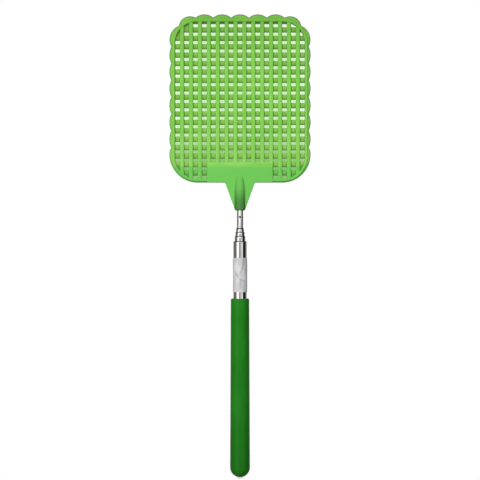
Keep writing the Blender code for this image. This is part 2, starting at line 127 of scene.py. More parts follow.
# A crease runs from one (turn, height) to another, with a width in degrees and a depth.
CREASE_SHADE_SHARPNESS, DEGREES_PER_HEIGHT = 0.9, 360
WRAP_CREASES = (
    ((-72, 0.65), (14, 0.34), 7, 0.13),
    ((4, 0.44), (4, 0.00), 8, 0.10),
    ((36, 1.10), (26, 0.62), 8, 0.20),
    ((29, 0.76), (-6, 0.47), 8, 0.11),
    ((62, 0.80), (52, 0.42), 7, 0.08),
    ((-6, 0.38), (72, 0.26), 7, 0.13),
    ((-70, 0.92), (-20, 0.80), 7, 0.06),
    ((110, 0.80), (200, 0.30), 9, 0.12),
)

# Where the green plastic's painted shade and painted light start and end: heights above the rim's
# top, above the lowest row of holes and above the boss's end, then distances from the pole's axis
# and from the middle plane
TOP_SHADE_START, TOP_SHADE_END = -40, 8
PLATE_LIGHT_TOP, PLATE_LIGHT_FADE, PAINTED_LIGHT_REACH = 8, 3, 26
CORE_DARKEST, CORE_PALEST, CORE_FADE = 3, 16, 8
CORE_RADIUS, CORE_EDGE = 3.35, 4.0
INNER_DEPTH, OUTER_DEPTH = 0.25, 0.62

# What the steel mirrors, by turn about the pole: 0 is towards the camera, and positive is to the
# right. Rays that point a little higher meet broader panels.
BROWN, GREY = (0.19, 0.165, 0.145), (0.27, 0.27, 0.27)
BLACK, WHITE = (0.008, 0.008, 0.007), (1.25, 1.25, 1.25)
REAR_WHITE, REAR_BRIGHT, REAR_MIDDLE = (1.0, 1.0, 1.0), (0.60, 0.60, 0.60), (0.42, 0.41, 0.40)
LOW_PANELS = (
    (-180, REAR_MIDDLE),
    (-173, REAR_MIDDLE),
    (-169, REAR_WHITE),
    (-152, REAR_WHITE),
    (-146, BROWN),
    (-63, BROWN),
    (-56, WHITE),
    (-20, WHITE),
    (-15, GREY),
    (0, GREY),
    (8, (0.50, 0.50, 0.50)),
    (48, (0.95, 0.95, 0.95)),
    (53, BLACK),
    (96, BLACK),
    (102, (0.14, 0.14, 0.14)),
    (135, (0.20, 0.20, 0.20)),
    (141, REAR_BRIGHT),
    (158, REAR_BRIGHT),
    (161, BLACK),
    (173, BLACK),
    (180, REAR_MIDDLE),
)
HIGH_PANELS = (
    (-180, REAR_MIDDLE),
    (-169, REAR_WHITE),
    (-152, REAR_WHITE),
    (-146, BROWN),
    (-110, (0.13, 0.13, 0.13)),
    (-62, (0.22, 0.22, 0.22)),
    (-36, WHITE),
    (0, WHITE),
    (25, (0.62, 0.62, 0.63)),
    (58, (0.55, 0.55, 0.56)),
    (68, BLACK),
    (115, BLACK),
    (130, (0.14, 0.14, 0.14)),
    (141, REAR_BRIGHT),
    (158, REAR_BRIGHT),
    (161, BLACK),
    (173, BLACK),
    (180, REAR_MIDDLE),
)
PANEL_STEP = (0.009, 0.014)
CEILING_START, CEILING_END, CEILING = 0.14, 0.38, 0.10

# Studio
CAMERA_DISTANCE, CAMERA_HEIGHT, FRAME_SIDE = 0.8, 0.1422, 0.288
FLOOR_HALF_SIZE, SHEET_GAP = 0.8, 0.0005
# The card behind the mesh shows to a camera nearly in front of it: cosines of the angle between
CARD_CLEAR, CARD_SHOWN = 0.80, 0.90
# The painted shade on the glowing white sheets, by the share of the sky that a point sees. The
# green of the card's shade is painted light bounced from the paddle.
CARD_SHADES = (
    (0.03, (0.28, 0.55, 0.19)),
    (0.08, (0.48, 0.78, 0.36)),
    (0.13, (0.69, 0.96, 0.60)),
    (0.34, (0.70, 0.93, 0.62)),
    (0.47, (1.0, 1.0, 1.0)),
)
FLOOR_SHADES = ((0.05, (0.50, 0.56, 0.50)), (0.35, (1.0, 1.0, 1.0)))
# The plate's green shade on the card, which starts below the plate's top and ends above it
PLATE_SHADE, PLATE_SHADE_START, PLATE_SHADE_REACH = (0.36, 0.56, 0.26), 8, 28
SHADE_REACH, HOLLOW_SHADE_REACH, SHADE_SAMPLES = 25, 3, 16
# The soft box, and how bright the sky is away from it and at its middle
SOFT_BOX_WAY = (-0.2, -0.8, 0.57)
SKY_FAR, SKY_NEAR = 0.01, 0.55
LAMP_DISTANCE, LAMP_SIZE = 1.2, 0.3
# Each lamp's direction from the swatter, and its power
LAMPS = {
    "key": ((-0.28, -0.8, 0.57), 9.3),
    "bounce": ((0.0, -0.5, -0.85), 2.0),
    "back": ((0.3, 1.0, 0.5), 13.0),
}


# ---------------------------------------------------------------- mesh helpers


def box_mm(node):
    """The corners of a CAD node's box, in millimetres."""
    return [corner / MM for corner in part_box(node)]


def turn_faces_out(mesh):
    """Points every face's normal outwards."""
    solid = bmesh.new()
    solid.from_mesh(mesh)
    bmesh.ops.recalc_face_normals(solid, faces=solid.faces)
    solid.to_mesh(mesh)
    solid.free()


def make_piece(name, points, faces, sharp_angle=SHARP_ANGLE):
    """A smooth-shaded mesh object from points in millimetres."""
    mesh = bpy.data.meshes.new(name)
    mesh.from_pydata([tuple(c * MM for c in p) for p in points], [], faces)
    turn_faces_out(mesh)
    mesh.shade_smooth()
    mesh.set_sharp_from_angle(angle=math.radians(sharp_angle))
    piece = bpy.data.objects.new(name, mesh)
    bpy.context.scene.collection.objects.link(piece)
    return piece


def turned(name, profile, steps=ROUND_STEPS):
    """Turns a closed loop of (radius, height) points, run up the outside and down the inside."""
    points, rings = [], []
    for radius, height in profile:
        start = len(points)
        if radius == 0:
            points.append((0, 0, height))
            rings.append([start] * steps)
        else:
            for i in range(steps):
                angle = math.tau * i / steps
                points.append((radius * math.cos(angle), radius * math.sin(angle), height))
            rings.append(list(range(start, start + steps)))
    faces = []
    for low, high in zip(rings, rings[1:] + rings[:1]):
        for i in range(steps):
            j = (i + 1) % steps
            corners = (low[i], low[j], high[j], high[i])
            unique = tuple(dict.fromkeys(corners))
            if len(unique) > 2:
                faces.append(unique)
    return make_piece(name, points, faces)


def lofted(name, rings, closed=False, sharp_angle=SHARP_ANGLE):
    """Joins rings of points, all of one length, into a solid with end caps or a closed loop."""
    count = len(rings[0])
    points = [p for ring in rings for p in ring]
    faces = []
    pairs = list(zip(range(len(rings)), range(1, len(rings))))
    if closed:
        pairs.append((len(rings) - 1, 0))
    for low, high in pairs:
        for i in range(count):
            j = (i + 1) % count
            faces.append((low * count + i, low * count + j, high * count + j, high * count + i))
    if not closed:
        last = (len(rings) - 1) * count
        faces.append(tuple(reversed(range(count))))
        faces.append(tuple(range(last, last + count)))
    return make_piece(name, points, faces, sharp_angle)


def combine(piece, tool, operation):
    """Joins a tool to a piece, cuts it out or keeps what both share, and removes the tool."""
    modifier = piece.modifiers.new("combine", "BOOLEAN")
    modifier.operation = operation
    modifier.object = tool
    modifier.solver = "MANIFOLD"
    bpy.context.view_layer.update()
    evaluated = piece.evaluated_get(bpy.context.evaluated_depsgraph_get())
    mesh = bpy.data.meshes.new_from_object(evaluated)
    piece.modifiers.clear()
    piece.data = mesh
    bpy.data.objects.remove(tool)
    return piece


def weld(piece):
    """Joins points that the Booleans left in nearly one place."""
    solid = bmesh.new()
    solid.from_mesh(piece.data)
    bmesh.ops.remove_doubles(solid, verts=solid.verts, dist=WELD_REACH * MM)
    solid.to_mesh(piece.data)
    solid.free()


def merge(name, pieces):
    """Puts separate closed shapes in one mesh."""
    points, faces = [], []
    for piece in pieces:
        start = len(points)
        points += [tuple(v.co / MM) for v in piece.data.vertices]
        faces += [tuple(start + i for i in p.vertices) for p in piece.data.polygons]
        bpy.data.objects.remove(piece)
    return make_piece(name, points, faces)


# ---------------------------------------------------------------- outline helpers


def arc(centre, radius, start, end, steps=ARC_STEPS):
    """Points on a circle from one angle to another, both ends included."""
    angles = [start + (end - start) * i / steps for i in range(steps + 1)]
    return [(centre[0] + radius * math.cos(a), centre[1] + radius * math.sin(a)) for a in angles]


def bulge(start, end, rise, steps=ARC_STEPS):
    """Points of a circular arc that rises to the left of start to end, without its end point."""
    chord = Vector(end) - Vector(start)
    half = chord.length / 2
    radius = (half * half + rise * rise) / (2 * rise)
    left = Vector((-chord.y, chord.x)).normalized()
    centre = (Vector(start) + Vector(end)) / 2 - left * (radius - rise)
    spread = math.asin(half / radius)
    middle = math.atan2(left.y, left.x)
    return arc(centre, radius, middle + spread, middle - spread, steps)[:-1]


def rounded_rectangle(half_width, bottom, top, radius):
    """A rectangle centred on x = 0 with round corners."""
    x, low, high = half_width - radius, bottom + radius, top - radius
    quarter = math.pi / 2
    outline = []
    for i, corner in enumerate(((x, high), (-x, high), (-x, low), (x, low))):
        outline += arc(corner, radius, i * quarter, (i + 1) * quarter, 2 * ARC_STEPS)
    return outline


def inset(outline, distance):
    """A counterclockwise outline moved inwards, corner by corner."""
    moved = []
    for i, here in enumerate(outline):
        before = Vector(here) - Vector(outline[i - 1])
        after = Vector(outline[(i + 1) % len(outline)]) - Vector(here)
        if before.length < 1e-6 or after.length < 1e-6:
            raise ValueError("an outline has two points in one place")
        first = Vector((-before.y, before.x)).normalized()
        second = Vector((-after.y, after.x)).normalized()
        mitre = (first + second) / (1 + first.dot(second))
        moved.append(tuple(Vector(here) + mitre * distance))
    return moved


def round_edged(name, outline, half_depth, radius, taper=1.0, top_slope=0.0, steps=5):
    """A plate with its front and back edges rounded. The rounding reaches in as far as taper times
    the radius, and by top_slope more at the top edge."""
    top = max(z for _, z in outline)
    quarter = math.pi / 2
    angles = [quarter * i / steps for i in range(steps + 1)]
    sides = [(-1, a) for a in reversed(angles)] + [(1, a) for a in angles]
    rings = []
    for side, angle in sides:
        inwards = radius * taper * (1 - math.cos(angle))
        depth = side * (half_depth - radius * (1 - math.sin(angle)))
        ring = []
        for (x, z), (_, start_z) in zip(inset(outline, inwards), outline):
            if start_z > top - 0.01:
                z -= top_slope * inwards / (radius * taper)
            ring.append((x, depth, z))
        rings.append(ring)
    return lofted(name, rings)


def prism(name, outline, low, high):
    """A solid with an outline in x and z, between two depths."""
    return lofted(name, [[(x, depth, z) for x, z in outline] for depth in (low, high)])


def oval(half_width, front, back, squareness, steps=24):
    """A rounded bar's section as (across, depth) points: flatter sides for more squareness."""
    section = []
    for i in range(steps):
        angle = math.tau * i / steps
        c, s = math.cos(angle), math.sin(angle)
        across = math.copysign(abs(c) ** (2 / squareness), c) * half_width
        depth = abs(s) ** (2 / squareness) * (back if s > 0 else front)
        section.append((across, depth))
    return section


# ---------------------------------------------------------------- paddle


def paddle_sizes():
    """Where the lattice and the rim are, hung from the CAD paddle's box."""
    low, high = box_mm("swatter_paddle")
    size = {"end": low.z, "rim_top": high.z - TOP_MARGIN - TOP_RISE}
    size["inner_top"] = size["rim_top"] - RIM_WIDTH
    size["top_row"] = size["inner_top"] - TOP_LEDGE - HOLE_HEIGHT / 2
    size["low_row"] = size["top_row"] - (ROWS - 1) * ROW_PITCH
    size["inner_low"] = size["low_row"] - HOLE_HEIGHT / 2
    size["rim_low"] = size["inner_low"] - RIM_WIDTH
    size["low"] = size["rim_low"] - BOTTOM_MARGIN
    size["inner_half"] = (COLUMNS - 1) / 2 * COLUMN_PITCH + HOLE_WIDTH / 2
    size["rim_half"] = size["inner_half"] + RIM_WIDTH
    return size


def column_x(index):
    """The middle of a column of holes, counted from the left."""
    return (index - (COLUMNS - 1) / 2) * COLUMN_PITCH


def rim_path(size, offset):
    """The rim's outline, offset outwards from its middle line."""
    middle = RIM_WIDTH / 2
    return rounded_rectangle(
        size["inner_half"] + middle + offset,
        size["inner_low"] - middle - offset,
        size["inner_top"] + middle + offset,
        RIM_INNER_ROUND + middle + offset,
    )


def scalloped_outline(size):
    """The outer edge: scallops two holes wide on the top and sides, and plain at the bottom."""
    half_width = size["rim_half"] + SIDE_MARGIN
    top = size["rim_top"] + TOP_MARGIN
    outer_round = RIM_INNER_ROUND + RIM_WIDTH
    corner_centre = (size["rim_half"] - outer_round, size["rim_top"] - outer_round)
    corner_cusp = arc(corner_centre, outer_round + SIDE_MARGIN, math.pi / 4, math.pi / 4, 1)[0]
    top_cusps = [(pitches * COLUMN_PITCH, top) for pitches in TOP_CUSPS]
    side_cusps = [(half_width, size["top_row"] - (row + 0.5) * ROW_PITCH) for row in SIDE_CUSPS]
    low_corner_x = half_width + SIDE_RISE - LOW_CORNER_ROUND
    low_corner = (low_corner_x, size["low"] + LOW_CORNER_ROUND)

    right = []
    for start, end in zip(top_cusps, top_cusps[1:]):
        right += bulge(start, end, TOP_RISE)
    right += bulge(top_cusps[-1], corner_cusp, CORNER_RISE)
    right += bulge(corner_cusp, side_cusps[0], CORNER_RISE)
    for start, end in zip(side_cusps, side_cusps[1:]):
        right += bulge(start, end, SIDE_RISE)
    right.append(side_cusps[-1])
    right += arc(low_corner, LOW_CORNER_ROUND, LOW_CORNER_START, -math.pi / 2, 3 * ARC_STEPS)
    left = [(-x, z) for x, z in reversed(right)]
    crown = bulge(left[-1], right[0], TOP_RISE)[1:]
    # The bulges run clockwise, and an outline is counterclockwise.
    return (right + left + crown)[::-1]


def rib_section(half_width, crown, shoulder, back, squareness, steps=14):
    """A rib's section as (across, depth) points: a crowned front, upright sides and a flat back."""
    section = []
    for i in range(steps + 1):
        angle = math.pi * i / steps
        c, s = math.cos(angle), math.sin(angle)
        across = math.copysign(abs(c) ** (2 / squareness), c) * half_width
        section.append((across, shoulder - s ** (2 / squareness) * (shoulder - crown)))
    centre = (half_width - RIB_BACK_ROUND, back - RIB_BACK_ROUND)
    corner = arc(centre, RIB_BACK_ROUND, 0, math.pi / 2, 4)
    return section + [(-x, y) for x, y in corner] + corner[::-1]


def lattice(size):
    """Squarish upright ribs in front, and rounder level ribs set back behind them."""
    bars = []
    section = rib_section(COLUMN_RIB / 2, *UPRIGHT_RIB)
    for index in range(COLUMNS - 1):
        middle = column_x(index + 0.5)
        ends = (size["inner_low"] - RIM_WIDTH, size["inner_top"] + RIM_WIDTH)
        rings = [[(middle + across, depth, z) for across, depth in section] for z in ends]
        bars.append(lofted("upright_rib", rings))
    uprights = merge("upright_ribs", bars)
    bars = []
    section = rib_section(ROW_RIB / 2, *LEVEL_RIB)
    for index in range(ROWS):
        middle = size["low_row"] + (index + 0.5) * ROW_PITCH
        ends = (-size["inner_half"] - RIM_WIDTH, size["inner_half"] + RIM_WIDTH)
        rings = [[(x, depth, middle + across) for across, depth in section] for x in ends]
        bars.append(lofted("level_rib", rings))
    ribs = combine(uprights, merge("level_ribs", bars), "UNION")
    webs = [corner_web(size, side, up) for side, up in WEBBED_CORNERS]
    ribs = combine(ribs, merge("webs", webs), "UNION")
    depth = 2 * LATTICE_HALF_DEPTH
    return combine(ribs, prism("trim", rim_path(size, 0), -depth, depth), "INTERSECT")


def corner_web(size, side, up):
    """The thin web that closes the three cramped holes of a corner."""
    half = size["inner_half"] + RIM_WIDTH
    one_in = column_x(COLUMNS - 1.5)
    two_in = column_x(COLUMNS - 2.5)
    middle = (size["low_row"] + size["top_row"]) / 2
    end = size["inner_top"] - middle + RIM_WIDTH / 2
    one_down = size["top_row"] - middle - 0.5 * ROW_PITCH
    two_down = size["top_row"] - middle - 1.5 * ROW_PITCH
    end_row = [(two_in, one_down), (two_in, end), (half, end)]
    next_row = [(half, two_down), (one_in, two_down), (one_in, one_down)]
    outline = [(side * x, middle + up * z) for x, z in end_row + next_row]
    return prism("web", outline, WEB_FRONT, WEB_BACK)


def yoke(size):
    """The plain plate and the neck that narrows down to the tube."""
    plate_half = (PLATE_COLUMNS * COLUMN_PITCH + COLUMN_RIB) / 2 - PLATE_MARGIN
    plate_top = size["low_row"] + (PLATE_ROWS - 0.5) * ROW_PITCH + ROW_RIB / 2 - PLATE_MARGIN
    neck_low = size["end"] + NECK_LOW_ABOVE_END
    slope = math.atan2(size["low"] - neck_low, NECK_TOP_HALF_WIDTH - NECK_LOW_HALF_WIDTH)
    setback = NECK_FILLET / math.tan((math.pi - slope) / 2)
    centre = (NECK_TOP_HALF_WIDTH + setback, size["low"] - NECK_FILLET)
    fillet = arc(centre, NECK_FILLET, math.pi / 2, math.pi / 2 + slope, ARC_STEPS)
    tip_centre = (NECK_LOW_HALF_WIDTH - BOSS_END_ROUND, neck_low)
    tip = arc(tip_centre, BOSS_END_ROUND, 0, -math.pi / 2, ARC_STEPS)
    right = [(plate_half, plate_top), (plate_half, size["low"])] + fillet + tip
    left = [(-x, z) for x, z in reversed(right)]
    outline = (right + left)[::-1]
    return round_edged("yoke", outline, YOKE_HALF_DEPTH, YOKE_ROUND, top_slope=PLATE_TOP_SLOPE)


def boss(size):
    """The round, pointed swelling on the neck that takes the tube."""
    low = size["end"]
    low_centre = (BOSS_LOW_RADIUS - BOSS_END_ROUND, low + BOSS_END_ROUND)
    profile = [(0, low)] + arc(low_centre, BOSS_END_ROUND, -math.pi / 2, 0, ARC_STEPS)
    start = low + BOSS_STRAIGHT
    for i in range(2 * ARC_STEPS):
        angle = math.pi / 2 * i / (2 * ARC_STEPS)
        profile.append((BOSS_TOP_RADIUS * math.cos(angle), start + BOSS_POINT * math.sin(angle)))
    return turned("boss", profile + [(0, start + BOSS_POINT)])


def socket(size):
    """The blind hole in the boss and the plate for the tip tube."""
    tube_high = box_mm("tube_1_tip")[1]
    radius, low = tube_high.x + PRESS_GAP, size["end"] - CUT_MARGIN
    high = tube_high.z + SOCKET_ABOVE_TUBE
    return turned("socket", [(0, low), (radius, low), (radius, high), (0, high)])


def paddle():
    """The whole moulding, joined into one closed mesh."""
    size = paddle_sizes()
    outline = scalloped_outline(size)
    taper = EDGE_TAPER / EDGE_ROUND
    edge = round_edged("paddle_moulding", outline, EDGE_HALF_DEPTH, EDGE_ROUND, taper)
    depth = RIM_HALF_DEPTH + CUT_MARGIN
    moulding = combine(edge, prism("window", rim_path(size, 0), -depth, depth), "DIFFERENCE")
    section = oval(RIM_WIDTH / 2, -RIM_HALF_DEPTH, RIM_HALF_DEPTH, RIM_SQUARENESS)
    rings = [[(x, turn, z) for x, z in rim_path(size, offset)] for offset, turn in section]
    moulding = combine(moulding, lofted("rim", rings, closed=True), "UNION")
    moulding = combine(moulding, lattice(size), "UNION")
    moulding = combine(moulding, yoke(size), "UNION")
    moulding = combine(moulding, boss(size), "UNION")
    moulding = combine(moulding, socket(size), "DIFFERENCE")
    weld(moulding)
    moulding.data.shade_smooth()
    moulding.data.set_sharp_from_angle(angle=math.radians(PADDLE_SHARP_ANGLE))
    return moulding


# ---------------------------------------------------------------- pole


def tube_name(number):
    """The CAD node of a tube, counted from the tip."""
    return {1: "tube_1_tip", 5: "tube_5_outer"}.get(number, f"tube_{number}")


def tube(number):
    """A tube whose upper end is rolled in to the next tube, with a round lip."""
    low, high = box_mm(tube_name(number))
    radius, wall = high.x, TUBE_WALL[number]
    round_radius = wall * LIP_ROUND_SHARE
    neck = box_mm(tube_name(number - 1))[1].x + NECK_CLEARANCE
    shoulder = high.z - NECK_LIP - SHOULDER_HEIGHT[number]

    def curve(start, end):
        points = []
        for i in range(ARC_STEPS + 1):
            angle = math.pi / 2 * i / ARC_STEPS
            across = start + (end - start) * (1 - math.cos(angle))
            points.append((across, shoulder + SHOULDER_HEIGHT[number] * math.sin(angle)))
        return points

    # A ring close below the shoulder keeps the straight part's shading level.
    outside = [(radius, low.z), (radius, shoulder - SHOULDER_RING)] + curve(radius, neck + wall)
    lip_centre = (neck + round_radius, high.z - round_radius)
    lip = arc(lip_centre, round_radius, 0, math.pi, 6)
    inside = curve(radius - wall, neck)[::-1]
    return turned(f"steel_tube_{number}", outside + lip + inside + [(radius - wall, low.z)])


def tip_tube():
    """A plain tube with a small punched hole. Close rings by the hole keep its shading even."""
    low, high = box_mm("tube_1_tip")
    height = high.z - PUNCH_HOLE_BELOW_TOP
    radius, inner = high.x, high.x - TUBE_WALL[1]
    levels = [height + step * PUNCH_HOLE_RADIUS / 4 for step in range(-6, 7)]
    outside = [(radius, level) for level in [low.z] + levels + [high.z]]
    piece = turned("steel_tube_1", outside + [(inner, level) for _, level in reversed(outside)])
    circle = arc((0, height), PUNCH_HOLE_RADIUS, 0, math.tau, 32)[:-1]
    return combine(piece, prism("punch", circle, -high.x - CUT_MARGIN, 0), "DIFFERENCE")


def foot(number):
    """The turned spool, with its edges broken."""
    low, high = box_mm(f"foot_{number}")
    shim_low, shim_high = box_mm(f"friction_shim_{number}_right")
    tube_low, tube_high = box_mm(tube_name(number))
    flange, stem = high.x, tube_high.x - TUBE_WALL[number] - PRESS_GAP
    groove = shim_high.x - SHIM_THICKNESS - SHIM_GAP
    edge = FOOT_EDGE
    groove_low, groove_high = shim_low.z - GROOVE_PLAY, shim_high.z + GROOVE_PLAY
    spool_top = tube_low.z - SPOOL_GAP
    profile = [
        (VENT_RADIUS, low.z),
        (flange - edge, low.z),
        (flange, low.z + edge),
        (flange, groove_low - edge),
        (flange - edge, groove_low),
        (groove, groove_low),
        (groove, groove_high),
        (flange - edge, groove_high),
        (flange, groove_high + edge),
        (flange, spool_top - edge),
        (flange - edge, spool_top),
        (stem, spool_top),
        (stem, high.z - edge),
        (stem - edge, high.z),
        (VENT_RADIUS, high.z),
    ]
    return turned(f"turned_foot_{number}", profile, FOOT_STEPS)


def shim(number, side):
    """Half a sprung ring."""
    node = f"friction_shim_{number}_{side}"
    low, high = box_mm(node)
    outer = max(abs(low.x), abs(high.x))
    middle = 0 if side == "right" else math.pi
    ends = (middle - SHIM_HALF_TURN, middle + SHIM_HALF_TURN)
    outside = arc((0, 0), outer, *ends, 3 * ARC_STEPS)
    inside = arc((0, 0), outer - SHIM_THICKNESS, *reversed(ends), 3 * ARC_STEPS)
    rings = [[(x, y, z) for x, y in outside + inside] for z in (low.z, high.z)]
    return lofted(f"sprung_shim_{number}_{side}", rings)


def plug():
    """The vented plug in the outer tube's lower end, with its edges broken."""
    low, high = box_mm("base_plug")
    edge = PLUG_EDGE
    profile = [(VENT_RADIUS, low.z), (high.x - edge, low.z), (high.x, low.z + edge)]
    profile += [(high.x, high.z - edge), (high.x - edge, high.z), (VENT_RADIUS, high.z)]
    return turned("end_plug", profile, FOOT_STEPS)


def grip():
    """A sleeve that tapers upwards, with a round lower end that has a small flat."""
    high = box_mm("grip")[1]
    low_radius = high.x
    flat = math.acos(GRIP_FLAT_RADIUS / low_radius)
    end = arc((0, low_radius * math.sin(flat)), low_radius, -flat, 0, 3 * ARC_STEPS)
    top_centre = (GRIP_TOP_RADIUS - GRIP_TOP_ROUND, high.z - GRIP_TOP_ROUND)
    top = arc(top_centre, GRIP_TOP_ROUND, 0, math.pi / 2, ARC_STEPS)
    side_low, side_high = end[-1], top[0]
    side = []
    for i in range(1, GRIP_RINGS):
        share = i / GRIP_RINGS
        radius = side_low[0] + (side_high[0] - side_low[0]) * share
        side.append((radius, side_low[1] + (side_high[1] - side_low[1]) * share))
    bore = box_mm("tube_5_outer")[1].x + PRESS_GAP
    profile = [(0, 0)] + end + side + top + [(bore, high.z), (bore, GRIP_FLOOR), (0, GRIP_FLOOR)]
    return turned("soft_grip", profile, GRIP_STEPS)


def wrap():
    """A blank paper sleeve, creased and pulled tight at one side, with a lapped seam behind."""
    low, high = box_mm("label_band")
    inner, largest = box_mm("tube_5_outer")[1].x + WRAP_GAP, high.x + WRAP_PROUD
    rings = []
    for i in range(WRAP_COLUMNS):
        angle = math.tau * i / WRAP_COLUMNS + WRAP_SEAM
        lap = WRAP_LAP * wrap_lap(i / WRAP_COLUMNS)
        outer = []
        for j in range(WRAP_ROWS + 1):
            share = j / WRAP_ROWS
            height = low.z + (high.z - low.z) * share
            radius = largest - wrap_hollow(angle, share) + lap
            radius = max(inner + WRAP_THICKNESS, min(radius, largest))
            outer.append((radius * math.cos(angle), radius * math.sin(angle), height))
        bottom = (inner * math.cos(angle), inner * math.sin(angle), low.z)
        top = (inner * math.cos(angle), inner * math.sin(angle), high.z)
        rings.append(outer + [top, bottom])
    piece = lofted("paper_wrap", rings, closed=True, sharp_angle=WRAP_SHARP_ANGLE)
    folds = piece.data.attributes.new("fold", "FLOAT", "POINT")
    for vertex, fold in zip(piece.data.vertices, folds.data):
        x, y, z = vertex.co / MM
        fold.value = wrap_folds(math.atan2(y, x), (z - low.z) / (high.z - low.z), CREASE_SHADE_SHARPNESS)
    return piece


def wrap_lap(share):
    """The lapped edge stands proud for a short way round, then steps down."""
    return max(0.0, 1 - share / WRAP_LAP_SHARE)


def wrap_turn(angle):
    """Degrees from the front, positive to the right."""
    return (math.degrees(angle) + 270) % 360 - 180


def wrap_folds(angle, share, sharpness=1.0):
    """The depth of the creases, as millimetres of hollow. More sharpness makes them narrower."""
    turn, depth = wrap_turn(angle), 0.0
    for start, end, width, deepest in WRAP_CREASES:
        along = Vector((end[0] - start[0], (end[1] - start[1]) * DEGREES_PER_HEIGHT))
        here = Vector((turn - start[0], (share - start[1]) * DEGREES_PER_HEIGHT))
        place = max(0.0, min(1.0, here.dot(along) / along.length_squared))
        distance = (here - along * place).length * sharpness
        depth += deepest * math.exp(-((distance / width) ** 2)) * math.sin(math.pi * place)
    return depth


def wrap_hollow(angle, share):
    """How far the paper lies below its largest radius, in millimetres."""
    pinch = WRAP_PINCH
    for value, (middle, reach) in ((wrap_turn(angle), PINCH_TURNS), (share, PINCH_HEIGHTS)):
        pinch *= math.exp(-(((value - middle) / reach) ** 2))
    around = (math.cos(angle) * RIPPLES_ROUND, math.sin(angle) * RIPPLES_ROUND)
    ripple = noise.noise(Vector((*around, share * RIPPLES_UP)))
    return WRAP_SLACK * (1 + ripple) + pinch + wrap_folds(angle, share)


# ---------------------------------------------------------------- materials


class Nodes:
    """Short ways to add nodes to a tree. An input is a value, or the output that feeds it."""

    def __init__(self, tree):
        self.tree = tree

    def feed(self, socket, value):
        if isinstance(value, bpy.types.NodeSocket):
            self.tree.links.new(value, socket)
        elif socket.type == "RGBA":
            socket.default_value = (*value, 1)
        else:
            socket.default_value = value

    def node(self, kind, inputs, **settings):
        made = self.tree.nodes.new("ShaderNode" + kind)
        for key, value in settings.items():
            setattr(made, key, value)
        for key, value in inputs.items():
            self.feed(made.inputs[key], value)
        return made

    def math(self, operation, first, second=0.0):
        return self.node("Math", {0: first, 1: second}, operation=operation).outputs[0]

    def between(self, value, low, high, start=0.35, end=0.65, way="SMOOTHSTEP"):
        """Maps a value, mostly from start to end, to low to high."""
        inputs = {"Value": value, "From Min": start, "From Max": end, "To Min": low, "To Max": high}
        return self.node("MapRange", inputs, interpolation_type=way).outputs[0]

    def mix(self, share, first, second, blend="MIX"):
        inputs = {0: share, 6: first, 7: second}
        return self.node("Mix", inputs, data_type="RGBA", blend_type=blend).outputs[2]

    def mix_shaders(self, share, first, second):
        return self.node("MixShader", {0: share, 1: first, 2: second}).outputs[0]

    def ramp(self, value, stops):
        """The colour at a value, from (value, colour) stops."""
        made = self.node("ValToRGB", {"Fac": value})
        elements = made.color_ramp.elements
        for element, (position, colour) in zip(elements, (stops[0], stops[-1])):
            element.position = position
            element.color = (*colour, 1)
        for position, colour in stops[1:-1]:
            elements.new(position).color = (*colour, 1)
        return made.outputs[0]


class Finish(Nodes):
    """One procedural material."""

    def __init__(self, name, values=None):
        self.material = bpy.data.materials.new(name)
        self.material.use_nodes = True
        super().__init__(self.material.node_tree)
        self.shader = self.tree.nodes["Principled BSDF"]
        self.place = self.node("TexCoord", {}).outputs["Object"]
        self.normal = None
        for key, value in (values or {}).items():
            self.set(key, value)

    def set(self, name, value):
        self.feed(self.shader.inputs[name], value)

    def noise(self, size, detail=3.0, stretch=(1, 1, 1)):
        """Noise with features about size millimetres wide. A stretch below 1 lengthens them."""
        placed = self.node("Mapping", {"Vector": self.place, "Scale": stretch})
        inputs = {"Vector": placed.outputs[0], "Scale": 1 / (size * MM), "Detail": detail}
        return self.node("TexNoise", inputs).outputs["Fac"]

    def bump(self, height, depth):
        """Relief depth millimetres deep, on top of any relief added before."""
        inputs = {"Height": height, "Distance": depth * MM, "Strength": 1.0}
        if self.normal:
            inputs["Normal"] = self.normal
        self.normal = self.node("Bump", inputs).outputs[0]
        self.set("Normal", self.normal)

    def axis(self, name):
        """The object coordinate along an axis, in metres."""
        return self.node("SeparateXYZ", {0: self.place}).outputs[name]

    def frontness(self):
        """1 where the surface faces straight to the front or back, and 0 where it is a side."""
        normal = self.node("TexCoord", {}).outputs["Normal"]
        return self.math("ABSOLUTE", self.node("SeparateXYZ", {0: normal}).outputs["Y"])

    def hollow_shade(self):
        """The share of painted shade: how far a point lies in a hollow, less where it faces up."""
        inputs = {"Distance": HOLLOW_SHADE_REACH * MM}
        openness = self.node("AmbientOcclusion", inputs, samples=SHADE_SAMPLES).outputs["AO"]
        normal = self.node("NewGeometry", {}).outputs["Normal"]
        up = self.node("SeparateXYZ", {0: normal}).outputs["Z"]
        share = self.between(up, 1, 0.15, -0.15, 0.5)
        return self.math("MULTIPLY", share, self.between(openness, 1, 0, 0.6, 0.98))

    def from_pole(self):
        """The distance from the pole's axis, in metres."""
        across = self.node("CombineXYZ", {"X": self.axis("X"), "Y": self.axis("Y")}).outputs[0]
        return self.node("VectorMath", {0: across}, operation="LENGTH").outputs["Value"]


